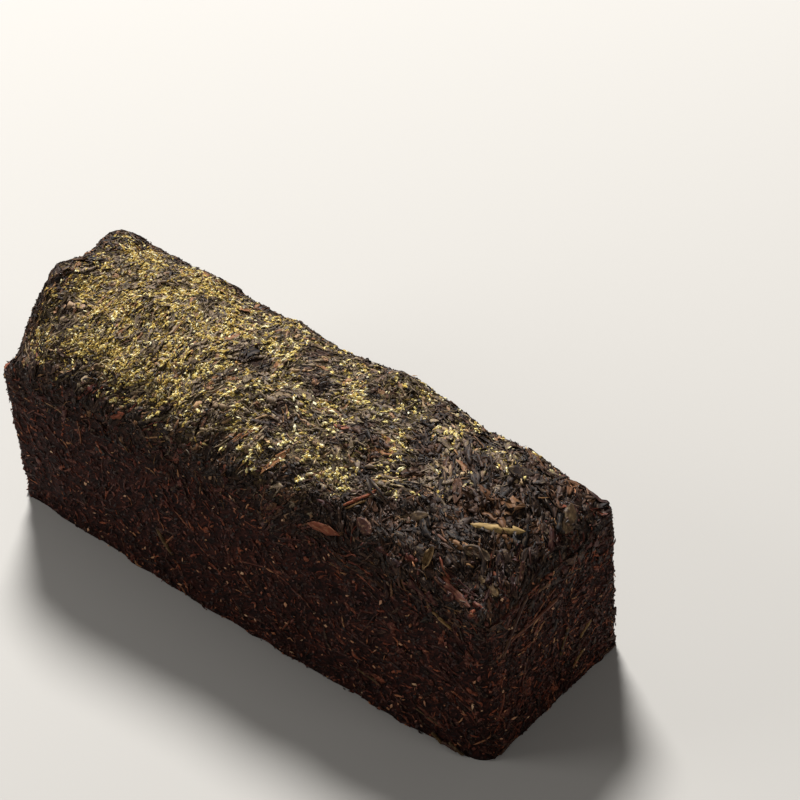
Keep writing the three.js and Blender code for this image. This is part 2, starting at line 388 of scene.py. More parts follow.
def noiseOf(tree, vector, kind):
    # clouds from 0 to 1, by their scale, detail and roughness
    inputs = dict(zip(("Scale", "Detail", "Roughness"), kind), Vector=vector)
    return addNode(tree, "ShaderNodeTexNoise", inputs).outputs["Fac"]


def cellsOf(tree, vector, scale):
    # uneven cells, with a colour and a distance from its middle for each
    return addNode(tree, "ShaderNodeTexVoronoi", {"Vector": vector, "Scale": scale, "Randomness": 1.0})


def attributeOf(tree, name):
    # the value that each point of a piece has by this name
    return addNode(tree, "ShaderNodeAttribute", attribute_name=name).outputs["Fac"]


# The body: the whole loaf as one closed skin, which shows between the leaves

body = {
    "steps": (236, 78, 58),  # facets along, across and up
    "crowding": 0.93,  # 0 spaces the facets evenly, 1 crowds them at the edges as a sine does
    # the walls' own dark brown, made redder by a painted reddish reflected light
    "wallTonesAndRedReflection": [(0, "#0d0605"), (0.3, "#1c0e0c"), (0.6, "#361a14"), (0.82, "#4f281c"), (1, "#7a452e")],
    "crownTones": [(0, "#0f0b0a"), (0.3, "#211814"), (0.6, "#3a2a21"), (0.82, "#54402f"), (1, "#7a5e45")],
    "patches": 160.0,  # to a metre: each has a direction of its own
    "turning": (0.9, 0.9, 0.9),  # radians, the most that a patch is turned by
    "drawnOut": (260, 1500, 1500),  # to a metre, along and across the fibres
    "fibres": (1.0, 4.0, 0.65),  # scale, detail and roughness of their noise
    "flakes": 0.55,  # scale of the cells
    "contrast": (1.1, -0.32),  # what the fibres are times to give the tone, and what is added
    "flakeTint": 0.42,
    "dust": "#93823f",  # the finest of the golden bloom
    "dustiness": 0.7,
    "powder": 0.4,  # how far it spreads past the grains
    "specks": (1400.0, 3.0, 0.7),  # scale, detail and roughness of its noise
    "speckled": [(0.46, 0.0), (0.62, 1.0)],
    "hollowShade": "#070504",  # painted shade, darkest in the hollows of the fine unevenness
    "hollowShading": 0.75,
    "hollows": (0.8, 0.2),  # what the fine unevenness is times to give the hollows of painted shade, and what is taken off
    "flakeRelief": 0.8,  # to the fibres' 1
    "relief": 0.0006,  # m
    "reliefStrength": 0.9,
    "roughness": 0.75,
    "specular": 0.1,
}

# Where the golden bloom lies, from 0 to 1, by x and by the distance from the front wall

bloomField = {
    "leftEdge": (-116, 16),  # x where it starts, and over how many mm it grows
    "frontEdge": (1, 12),
    "backEdge": (66, 8),
    "rightEdge": [(0, 38), (11, 54), (26, 84), (49, 98), (75, 108)],  # from the front, and the last x there
    "fade": 16,
    "patches": {"waves": 24, "shortest": 4, "longest": 24},
    # by x: how much farther a thin powder reaches, and what patches have to be over to have any
    "powder": [(-117, 1.0), (-20, 1.0), (50, 0.4), (110, 0.2)],
    "bare": [(-117, -1.4), (-60, -1.15), (0, -0.6), (110, -0.45)],
    "growing": 1.5,  # how far over that they have it all
}


def bloomAt(x, fromFront, powder=0.0):
    # ramps at the four edges of the field, times patches, which are broader the more powder there is
    def ramp(distance, reach):
        return np.clip(distance / reach, 0, 1)
    lastX = np.interp(fromFront, *zip(*bloomField["rightEdge"]))
    share = ramp(x - bloomField["leftEdge"][0], bloomField["leftEdge"][1])
    share = share * ramp(fromFront - bloomField["frontEdge"][0], bloomField["frontEdge"][1])
    share = share * ramp(bloomField["backEdge"][0] + bloomField["backEdge"][1] - fromFront,
                         bloomField["backEdge"][1])
    share = share * ramp(lastX - x, bloomField["fade"])
    spots = np.stack([x, fromFront, np.zeros_like(x)], -1)
    patches = unevenness(spots, bloomField["patches"], 7) - np.interp(x, *zip(*bloomField["bare"])) + powder
    return share * ramp(patches, bloomField["growing"])


def bodyMaterial():
    # flakes and fibres: cells and noise drawn out in a direction that changes from patch to patch, in the
    # wall's and the crown's tones by the share that each point has, then the dust, and painted shade in the
    # hollows
    material, shader = newMaterial("pressed_tea")
    tree = material.node_tree
    place = addNode(tree, "ShaderNodeTexCoord").outputs["Object"]
    patch = cellsOf(tree, place, body["patches"])
    angles = {0: patch.outputs["Color"], 1: body["turning"]}
    angles = addNode(tree, "ShaderNodeVectorMath", angles, operation="MULTIPLY").outputs[0]
    turned = {"Vector": place, "Rotation": angles}
    turned = addNode(tree, "ShaderNodeVectorRotate", turned, rotation_type="EULER_XYZ").outputs[0]
    drawnOut = addNode(tree, "ShaderNodeMapping", {"Vector": turned, "Scale": body["drawnOut"]}).outputs[0]
    fibres = noiseOf(tree, drawnOut, body["fibres"])
    flakes = cellsOf(tree, drawnOut, body["flakes"])
    tint = addNode(tree, "ShaderNodeSeparateColor", {0: flakes.outputs["Color"]}).outputs[0]
    tone = mathOn(tree, "MULTIPLY_ADD", fibres, *body["contrast"])
    tone = mathOn(tree, "ADD", tone, mathOn(tree, "MULTIPLY", tint, body["flakeTint"]))
    wall = rampOf(tree, tone, body["wallTonesAndRedReflection"])
    crown = rampOf(tree, tone, body["crownTones"])
    base = mixed(tree, attributeOf(tree, "onCrown"), wall, crown)
    speckle = rampOf(tree, noiseOf(tree, place, body["specks"]), body["speckled"])
    share = mathOn(tree, "MULTIPLY", attributeOf(tree, "bloom"), body["dustiness"])
    share = mathOn(tree, "MULTIPLY", speckle, share)
    base = mixed(tree, share, base, linear(body["dust"]))
    # painted shade: where the fine unevenness sinks, the colour is darkened towards near-black
    share = mathOn(tree, "MULTIPLY", attributeOf(tree, "hollow"), body["hollowShading"])
    base = mixed(tree, share, base, linear(body["hollowShade"]))
    height = mathOn(tree, "MULTIPLY", flakes.outputs["Distance"], body["flakeRelief"])
    height = mathOn(tree, "ADD", fibres, height)
    relief = {"Strength": body["reliefStrength"], "Distance": body["relief"], "Height": height}
    relief = addNode(tree, "ShaderNodeBump", relief).outputs[0]
    fillIn(tree, shader, {"Base Color": base, "Roughness": body["roughness"],
                          "Specular IOR Level": body["specular"], "Normal": relief})
    return material


def crowded(share):
    # from -1 to 1, closer together at both ends: part straight line, part sine
    return (1 - body["crowding"]) * share + body["crowding"] * np.sin(share * math.pi / 2)


def cellCorners(grid):
    # what stands at the four corners of each cell of a grid, in turn
    return [grid[:-1, :-1], grid[1:, :-1], grid[1:, 1:], grid[:-1, 1:]]


def addBody():
    # the skin of a box of facets, each side with its own rectangle in the UV map
    along, across, up = body["steps"]
    i, j, k = np.indices((along + 1, across + 1, up + 1))
    onSkin = (i % along == 0) | (j % across == 0) | (k % up == 0)
    ids = np.full(onSkin.shape, -1)
    ids[onSkin] = np.arange(onSkin.sum())
    a = crowded(2 * i[onSkin] / along - 1)
    b = crowded(2 * j[onSkin] / across - 1)
    c = k[onSkin] / up
    points = onLoaf(a, b, c)
    charts = [  # each side's ids, and the left and low corner and the size of its rectangle in the map
        (ids[:, :, up], (0.005, 0.735, 0.66, 0.26)),
        (ids[:, ::-1, 0], (0.005, 0.005, 0.66, 0.2)),
        (ids[:, 0, :], (0.005, 0.475, 0.66, 0.25)),
        (ids[::-1, across, :], (0.005, 0.215, 0.66, 0.25)),
        (ids[0, ::-1, :], (0.68, 0.735, 0.31, 0.26)),
        (ids[along, :, :], (0.68, 0.465, 0.31, 0.26)),
    ]
    quads, uvs = [], []
    for side, (left, low, wide, high) in charts:
        rows, columns = side.shape
        quads.append(np.stack(cellCorners(side), -1).reshape(-1, 4))
        u, v = np.meshgrid(np.arange(rows) / (rows - 1), np.arange(columns) / (columns - 1), indexing="ij")
        spots = np.stack([left + wide * u, low + high * v], -1)
        uvs.append(np.stack(cellCorners(spots), -2).reshape(-1, 2))
    fromFront = (b + 1) / 2 * widthAt(a * loaf["length"] / 2, loaf["shoulder"])
    onTop = crownShare(points[:, 2])
    depth, shallow = body["hollows"]
    attributes = {
        "onCrown": onTop,
        "bloom": bloomAt(a * loaf["length"] / 2, fromFront, body["powder"]) * onTop,
        # where the fine unevenness sinks, for the painted shade in its hollows
        "hollow": np.clip(-unevenness(points, loaf["fine"], 80) * depth - shallow, 0, 1),
    }
    faces, uv = [np.concatenate(quads)], np.concatenate(uvs)
    piece = addPiece("teaBrick", points, faces, uv, bodyMaterial(), True, attributes)
    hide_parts("tea_brick")


addBody()
print("body built")


# What is scattered over the loaf: places, shapes and the way that they are laid on it

cells = {"along": 160, "up": 80}

flow = {  # the way that leaves were swept as they were rammed
    "turns": [(-120, 60), (-65, 78), (-20, 62), (15, 12), (70, 2), (100, -25), (120, -45)],  # by x, from +X
    "eddies": {"waves": 10, "shortest": 24, "longest": 80},
    "crownEddy": 0.55,  # radians
    "wallEddy": 0.99,
    "backSlope": (12, 24),  # y where it starts and where leaves stray the most
    "backStray": 0.6,
    "growing": (40, 100),  # x where leaves start to be larger, and where they are largest
}


def flowAt(face, spots):
    # the angle from the face's first direction: eddies, on the crown round a turn that changes with x
    eddies = unevenness(spots, flow["eddies"], 21)
    if face != "crown":
        return flow["wallEddy"] * eddies
    return np.radians(np.interp(spots[..., 0], *zip(*flow["turns"]))) + flow["crownEddy"] * eddies


def interleaved(first, second):
    # the nine lowest bits of two whole numbers in turn: an order of cells that keeps neighbours near
    code = np.zeros(np.broadcast(first, second).shape, np.int64)
    for bit in range(9):
        code |= ((first >> bit) & 1) << (2 * bit)
        code |= ((second >> bit) & 1) << (2 * bit + 1)
    return code


def spreadOver(face, count, density=None):
    # places spread evenly over a face: its cells are put in an order that keeps neighbours near, the sum of
    # their areas times the density runs along them, and equal steps of that sum pick the cells
    rows, columns = cells["along"], cells["up"]
    if face in ("left", "right"):
        rows = columns
    edgesS = np.sin(np.linspace(-1, 1, rows + 1) * math.pi / 2)
    edgesT = np.sin(np.linspace(-1, 1, columns + 1) * math.pi / 2)
    if face != "crown":
        edgesT = np.linspace(-1, 1, columns + 1)
    corners = onFace(face, edgesS[:, None], edgesT[None, :])
    middles = (corners[1:, 1:] + corners[:-1, :-1]) / 2
    diagonals = np.cross(corners[1:, 1:] - corners[:-1, :-1], corners[:-1, 1:] - corners[1:, :-1])
    weight = np.linalg.norm(diagonals, axis=-1) / 2
    if density is not None:
        weight = weight * density(middles)
    i, j = np.indices(weight.shape)
    order = np.argsort(interleaved(i, j).ravel(), kind="stable")
    total = np.cumsum(weight.ravel()[order])
    picks = (np.arange(count) + draw.random(count)) / count * total[-1]
    chosen = order[np.searchsorted(total, picks)]
    i, j = np.unravel_index(chosen, weight.shape)
    s = edgesS[i] + (edgesS[i + 1] - edgesS[i]) * draw.random(count)
    t = edgesT[j] + (edgesT[j + 1] - edgesT[j]) * draw.random(count)
    mixedUp = draw.permutation(count)
    return s[mixedUp], t[mixedUp]


laying = {
    "spill": 0.06,  # share that is kept of what would hang over a face's edge
    "least": 0.25,  # share of its reach that a shape keeps on the steepest slope
    "inside": 0.98,  # how far towards a face's edge its normal is still taken
    "clearance": 0.05,  # mm, the least height
}


def drape(face, s, t, shapes, turn, tilt, lift, stiff=0.0):
    # lays each shape on the face: flat at first, turned and tilted, then each point moves over the place of
    # the face under it, or nearer to the middle where a steep slope would draw the shape out. What would
    # hang over the edge is drawn in, and over a hollow the shape keeps `stiff` of its height when flat.
    along, across, out = (way[:, None] for way in directionsOn(face, s, t))
    ahead = along / np.linalg.norm(along, axis=-1, keepdims=True)
    sideways = np.cross(out, ahead)
    turn, tilt, lift = turn[:, None], tilt[:, None], lift[:, None]
    x = shapes[..., 0] * np.cos(tilt) + shapes[..., 2] * np.sin(tilt)
    high = shapes[..., 2] * np.cos(tilt) - shapes[..., 0] * np.sin(tilt)
    flatX = x * np.cos(turn) - shapes[..., 1] * np.sin(turn)
    flatY = x * np.sin(turn) + shapes[..., 1] * np.cos(turn)
    middle = onFace(face, s, t)[:, None]
    flat = middle + flatX[..., None] * ahead + flatY[..., None] * sideways
    underS = np.broadcast_to(s[:, None], flatX.shape)
    underT = np.broadcast_to(t[:, None], flatX.shape)
    for step in range(3):
        gap = flat - onFace(face, underS, underT)
        gap -= (gap * out).sum(-1, keepdims=True) * out
        underS = np.clip(underS + (gap * along).sum(-1) / (along * along).sum(-1), -1, 1)
        underT = np.clip(underT + (gap * across).sum(-1) / (across * across).sum(-1), -1, 1)
    reach = np.hypot(flatX, flatY)
    for step in range(2):
        drawnOut = np.linalg.norm(onFace(face, underS, underT) - middle, axis=-1)
        keep = np.clip(reach / np.maximum(drawnOut, 0.01), laying["least"], 1)
        underS = s[:, None] + (underS - s[:, None]) * keep
        underT = t[:, None] + (underT - t[:, None]) * keep
    under = onFace(face, underS, underT)
    over = flat - under
    rise = (over * out).sum(-1, keepdims=True)
    over = (over - rise * out) * laying["spill"] + np.maximum(rise, 0) * stiff * out
    outHere = directionsOn(face, laying["inside"] * underS, laying["inside"] * underT)[2]
    laid = under + over + outHere * (high + lift)[..., None]
    laid[..., 2] = np.maximum(laid[..., 2], laying["clearance"])
    return laid


def stripFaces(count, stations, sides):
    # rings of quads along each strip, closed by a fan of triangles at each end
    ring = np.arange(stations * sides).reshape(stations, sides)
    after = np.roll(ring, -1, axis=1)
    quads = np.stack([ring[:-1], after[:-1], after[1:], ring[1:]], -1).reshape(-1, 4)
    firstEnd = np.full(sides, stations * sides)
    fans = [np.stack([after[0], ring[0], firstEnd], -1), np.stack([ring[-1], after[-1], firstEnd + 1], -1)]
    firsts = np.arange(count) * (stations * sides + 2)
    groups = (quads, np.concatenate(fans))
    return [(group[None] + firsts[:, None, None]).reshape(-1, group.shape[1]) for group in groups]


def between(pair, count, power=1.0):
    # draws from the first to the second number, nearer to the first the higher the power
    return pair[0] + (pair[1] - pair[0]) * draw.random(count) ** power


def strips(kind, sizes):
    # thin closed strips along X: a section of few corners, as wide as a sine lets it be, folded along its
    # middle, bowed sideways, curled at the tips, twisted, and crumpled by a small random push at every point
    section = np.array(kind["section"], float)
    stations = kind["stations"]
    count = len(sizes)
    share = (np.arange(stations) + 0.6) / (stations + 0.2)
    length, width, thickness = (sizes[:, i, None, None] for i in range(3))
    blunt = between(kind["bluntness"], count)[:, None, None]
    outline = np.sin(math.pi * share[None, :, None]) ** blunt
    outline = outline * (1 + kind["jagged"] * draw.normal(size=(count, stations, 1)))
    y = section[None, None, :, 0] * outline * width / 2
    z = section[None, None, :, 1] * np.sqrt(np.clip(outline, 0.05, None)) * thickness / 2
    fold = draw.normal(size=(count, 1, 1)) * kind["fold"]
    z = z + fold * np.abs(y)
    twist = draw.normal(size=(count, 1, 1)) * kind["twist"] * (share[None, :, None] - 0.5)
    y, z = y * np.cos(twist) - z * np.sin(twist), y * np.sin(twist) + z * np.cos(twist)
    x = np.broadcast_to((share[None, :, None] - 0.5) * length, y.shape)
    ends = np.array([-0.5, 0.5])[None, :] * length[:, :, 0]
    x = np.concatenate([x.reshape(count, -1), ends], 1)
    y = np.concatenate([y.reshape(count, -1), np.zeros((count, 2))], 1)
    z = np.concatenate([z.reshape(count, -1), np.zeros((count, 2))], 1)
    along = 2 * x / length[:, :, 0]
    y = y + draw.normal(size=(count, 1)) * kind["bow"] * along ** 2 * length[:, :, 0] / 2
    z = z + draw.normal(size=(count, 1)) * kind["curl"] * along ** 2
    z = z + kind["crumple"] * draw.normal(size=z.shape)
    return np.stack([x, y, z], -1), section, share


# Thirds of every palette: the walls, the crown, and the crown where bloom lies on it

# the walls' third is their own dark brown, made redder by a painted reddish reflected light
zones = {"wall": 0, "bare": 1, "dusty": 2}

chart = {  # three numbers are a noise's scale, detail and roughness, and two are where it starts and ends
    "band": 0.0016,  # width of one strip in the map
    "tips": (0.02, 0.98),  # v of its two ends
    "margin": 0.003,  # left free round the map
    "mottling": (1.0, 2.0, 0.6),
    "deepening": (0.3, 0.52),
    "wearing": (0.52, 0.72),
    "dust": (1.7, 2.0, 0.7),
    "dusting": (0.5, 0.62),
    "lastThird": 0.667,
}


def sideBySide(rows):
    # rows of tones next to each other in one ramp, with a small gap between them
    stops = []
    for row, tones in enumerate(rows):
        stops += [((row + 0.01 + 0.98 * place) / len(rows), tone) for place, tone in tones]
    return stops


def zoned(wall, bare, dusty):
    # the tones of the three zones in a ramp from 0 to 1
    stops = sideBySide((wall, bare, dusty))
    return [(0, stops[0][1])] + stops[1:-1] + [(1, stops[-1][1])]


def zoneAt(spots):
    # walls below and crown above, mixed between two heights, and bloom where the field has it
    count = len(spots)
    # up to the second height, over the crown's steep lower slopes, the walls' tones are painted shade
    onTop = np.interp(spots[:, 2], loaf["mixingAndShade"], (0, 1)) > draw.random(count)
    powder = np.interp(spots[:, 0], *zip(*bloomField["powder"]))
    dusty = bloomAt(spots[:, 0], spots[:, 1] + loaf["footWidth"] / 2, powder) > draw.random(count)
    return np.where(onTop, np.where(dusty, zones["dusty"], zones["bare"]), zones["wall"])


def drawnTones(spots):
    # a tone at random from the zone of each place, as its u in the map
    return (zoneAt(spots) + 0.02 + 0.96 * draw.random(len(spots))) / 3


def inMap(u, v):
    # both side by side, kept clear of the map's edges
    return np.clip(np.stack([u, v], -1), chart["margin"], 1 - chart["margin"])


def paletteUv(section, share, tone):
    # each strip has a narrow upright band of the map: its tone picks the band, and the map runs up along it
    count = len(tone)
    u = tone[:, None, None] + section[None, None, :, 0] * chart["band"] / 2
    v = np.broadcast_to(share[None, :, None], (count, len(share), len(section)))
    tips = np.broadcast_to(np.array(chart["tips"]), (count, 2))
    u = np.broadcast_to(u, v.shape).reshape(count, -1)
    u = np.concatenate([u, np.broadcast_to(tone[:, None], (count, 2))], 1)
    return inMap(u, np.concatenate([v.reshape(count, -1), tips], 1))


def paletteMaterial(name, kind):
    # the tone across the map, darkened and worn in fine streaks, and dusty patches in its last third
    material, shader = newMaterial(name)
    tree = material.node_tree
    place = addNode(tree, "ShaderNodeUVMap", uv_map="OFBake").outputs[0]
    across = addNode(tree, "ShaderNodeSeparateXYZ", {0: place}).outputs[0]
    streaks = addNode(tree, "ShaderNodeMapping", {"Vector": place, "Scale": kind["streaks"]}).outputs[0]
    mottle = noiseOf(tree, streaks, chart["mottling"])
    dark, pale = kind["mottle"]
    deepen = rampOf(tree, mottle, list(zip(chart["deepening"], (dark, 1.0))))
    base = mixed(tree, 1.0, rampOf(tree, across, kind["tones"]), deepen, "MULTIPLY")
    lighten = rampOf(tree, mottle, list(zip(chart["wearing"], (0.0, pale))))
    base = mixed(tree, lighten, base, linear(kind["worn"]))
    if kind.get("dust"):
        dust = noiseOf(tree, streaks, chart["dust"])
        dusty = rampOf(tree, dust, list(zip(chart["dusting"], (0.0, 1.0))))
        inField = mathOn(tree, "GREATER_THAN", across, chart["lastThird"])
        share = mathOn(tree, "MULTIPLY", inField, kind["dustiness"])
        base = mixed(tree, mathOn(tree, "MULTIPLY", dusty, share), base, linear(kind["dust"]))
    fillIn(tree, shader, {"Base Color": base, "Roughness": kind["roughness"],
                          "Specular IOR Level": kind["specular"]})
    return material


def above(low, high):
    # how thickly a kind lies at a height: 0 up to the first and 1 from the second on, or the other way round
    return lambda middles: np.clip((middles[..., 2] - low) / (high - low), 0.0001, 1)


def risen(values, bounds):
    # 0 up to the first bound and 1 from the second on, in a straight line between them
    return np.clip((values - bounds[0]) / (bounds[1] - bounds[0]), 0, 1)


def drawnSizes(kind, count):
    # a length, a width and a thickness for each
    keys = ("length", "width", "thickness")
    return np.stack([between(kind[key], count, kind["unequal"]) for key in keys], -1)


def scatter(name, kind):
    # strips of one kind over all the faces that it names, along the flow, larger towards the right end
    points, uvs, total = [], [], 0
    for face, count in kind["on"].items():
        s, t = spreadOver(face, count, kind["density"])
        spots = onFace(face, s, t)
        sizes = drawnSizes(kind, count)
        sizes[:, :2] *= 1 + kind["growth"] * risen(spots[:, 0], flow["growing"])[:, None]
        shapes, section, share = strips(kind, sizes)
        stray = kind["stray"]
        if face == "crown":
            stray = stray + flow["backStray"] * risen(spots[:, 1], flow["backSlope"])
        turn = flowAt(face, spots) + draw.normal(size=count) * stray
        tilt = draw.normal(size=count) * kind["tilt"]
        points.append(drape(face, s, t, shapes, turn, tilt, between(kind["lift"], count)).reshape(-1, 3))
        uvs.append(paletteUv(section, share, drawnTones(spots)).reshape(-1, 2))
        total += count
    faces = stripFaces(total, kind["stations"], len(kind["section"]))
    corners = np.concatenate([group.ravel() for group in faces])
    uv = np.concatenate(uvs)[corners]
    piece = addPiece(name, np.concatenate(points), faces, uv, paletteMaterial(name, kind), kind["smooth"])


# The sections of strips: each corner's share of half the width and of half the thickness

lensSection = [(1, 0), (0.15, 1), (-1, 0), (-0.15, -1)]
sharpSection = [(1, -0.4), (0, 1), (-1, -0.4)]
creasedSection = [(1, 0), (0.62, 0.9), (0.2, 0.15), (-0.22, 1), (-0.64, 0.3), (-1, 0), (0, -0.7)]
ribbedSection = [
    (1, 0), (0.65, 0.9), (0.3, 0.1), (-0.05, 0.8), (-0.45, 0.1), (-1, 0.3), (-0.5, -0.6), (0.4, -0.6)]
roundSection = [(math.cos(turn), math.sin(turn)) for turn in np.arange(6) * math.pi / 3]


# Leaf fragments on the crown, crumpled and torn

crownLeaves = {
    "on": {"crown": 4180, "front": 100, "back": 100, "left": 50, "right": 60},
    "density": above(56, 76),
    "section": lensSection,
    "stations": 5,
    "length": (2.5, 11),
    "width": (0.7, 2.6),
    "thickness": (0.15, 0.5),
    "unequal": 1.5,  # power of the draw: the higher, the more small ones among them
    "growth": 0.7,  # what they are larger by at the right end
    "bluntness": (0.15, 0.6),
    "jagged": 0.3,
    "fold": 0.3,
    "twist": 0.45,
    "bow": 0.16,
    "curl": 0.35,
    "crumple": 0.2,
    "stray": 0.45,  # radians from the flow
    "tilt": 0.07,
    "lift": (-0.25, 0.3),
    "smooth": True,
    # in each third, the palest tones, which only a few leaves draw, are painted glints
    "tones": zoned(
        [(0, "#140807"), (0.35, "#2d1310"), (0.65, "#441d17"), (0.85, "#5a291d"), (1, "#86462d")],
        [(0, "#0e0908"), (0.3, "#1c120e"), (0.6, "#2d1d15"),
         (0.8, "#3e281c"), (0.93, "#543522"), (1, "#7e5a3a")],
        [(0, "#3a2e2b"), (0.3, "#55453f"), (0.6, "#6d5b50"),
         (0.8, "#82705c"), (0.94, "#8c5c44"), (1, "#b09c76")],
    ),
    "streaks": (2500, 6, 1),
    "mottle": (0.35, 0.4),
    "worn": "#8f7458",
    "roughness": 0.6,
    "specular": 0.16,
    "dust": "#a6945a",
    "dustiness": 0.45,
}
scatter("crownLeaves", crownLeaves)

# Whole leaves and large parts of them among the fragments

broadLeaves = dict(
    crownLeaves,
    on={"crown": 480, "front": 14, "right": 10},
    density=above(58, 74),
    section=creasedSection,
    stations=9,
    length=(6, 15),
    width=(1.5, 4.2),
    thickness=(0.4, 0.8),
    growth=0.35,
    bluntness=(0.45, 0.95),
    jagged=0.16,
    fold=0.2,
    twist=0.5,
    bow=0.22,
    crumple=0.15,
    stray=0.55,
    tilt=0.03,
    specular=0.14,
    roughness=0.65,
    mottle=(0.3, 0.35),
    tones=zoned(
        [(0, "#190b0a"), (0.5, "#311512"), (1, "#52231a")],
        [(0, "#0f0a08"), (0.4, "#1f140f"), (0.7, "#301e15"), (0.88, "#452a1a"), (1, "#654024")],
        [(0, "#2a211e"), (0.35, "#43352f"), (0.6, "#5a483d"),
         (0.82, "#6f5843"), (0.88, "#74452d"), (1, "#8a5838")],
    ),
    streaks=(3500, 5, 1),
)
scatter("broadLeaves", broadLeaves)

# Leaf fragments rammed flat into the walls

wallLeaves = dict(
    crownLeaves,
    on={"crown": 260, "front": 680, "back": 680, "left": 270, "right": 330},
    density=above(84, 62),
    length=(2, 9),
    width=(0.8, 2.8),
    thickness=(0.2, 0.5),
    growth=0.2,
    curl=0.2,
    fold=0.15,
    twist=0.35,
    crumple=0.18,
    stray=0.7,
    tilt=0.08,
    lift=(-0.3, 0.3),
    mottle=(0.15, 0.5),
    specular=0.13,
)
scatter("wallLeaves", wallLeaves)

# Shreds and fibres in the walls

wallShreds = dict(
    wallLeaves,
    on={"crown": 300, "front": 1250, "back": 1250, "left": 500, "right": 700},
    section=sharpSection,
    length=(1.2, 6),
    width=(0.3, 1.0),
    thickness=(0.25, 0.6),
    unequal=1.4,
    bluntness=(0.3, 0.7),
    jagged=0.25,
    fold=0.0,
    twist=1.2,
    bow=0.25,
    curl=0.25,
    crumple=0.12,
    lift=(-0.1, 0.3),
    tones=zoned(
        [(0, "#180908"), (0.35, "#301411"), (0.62, "#4b2019"),
         (0.82, "#6a2f21"), (0.93, "#994e31"), (1, "#d6a474")],
        [(0, "#120c0a"), (0.35, "#221611"), (0.65, "#352319"), (0.86, "#4c3020"), (1, "#8f683f")],
        [(0, "#3d322e"), (0.35, "#5c4d44"), (0.65, "#786858"), (0.85, "#8e775c"), (1, "#c6b288")],
    ),
)
scatter("wallShreds", wallShreds)

# Shreds on the crown

crownShreds = dict(
    wallShreds,
    on={"crown": 2900, "front": 160, "back": 160, "left": 50, "right": 70},
    density=above(56, 76),
    length=(1.5, 8),
    width=(0.25, 0.9),
    growth=0.3,
    curl=0.35,
    stray=0.5,
    lift=(-0.05, 0.5),
    mottle=(0.35, 0.5),
    specular=0.16,
)
scatter("crownShreds", crownShreds)

# Stalks

stalks = dict(
    wallShreds,
    on={"crown": 90, "front": 130, "back": 130, "left": 55, "right": 85},
    density=above(-1, 0),
    section=roundSection,
    length=(4, 15),
    width=(0.45, 1.1),
    thickness=(0.45, 1.0),
    unequal=1.3,
    bluntness=(0.08, 0.2),
    jagged=0.06,
    twist=0.0,
    bow=0.12,
    crumple=0.04,
    stray=0.6,
    tilt=0.03,
    lift=(-0.35, 0.2),
    tones=zoned(
        [(0, "#20100c"), (0.4, "#381912"), (0.7, "#4b2216"), (0.92, "#6a3522"), (1, "#a06c48")],
        [(0, "#1d1512"), (0.4, "#36261d"), (0.7, "#4a2f20"), (0.92, "#6a3f28"), (1, "#a07850")],
        [(0, "#2b221c"), (0.4, "#4a3a2b"), (0.7, "#5f4229"), (0.92, "#80542f"), (1, "#b08a58")],
    ),
    streaks=(900, 6, 1),
    specular=0.2,
)
scatter("stalks", stalks)
print("leaves, shreds and stalks laid")


# Pieces that stand out, each laid from one place to another: on the crown a place is x and the distance from
# the front, on the front x and the height, and on the right end the distance from the front and the height

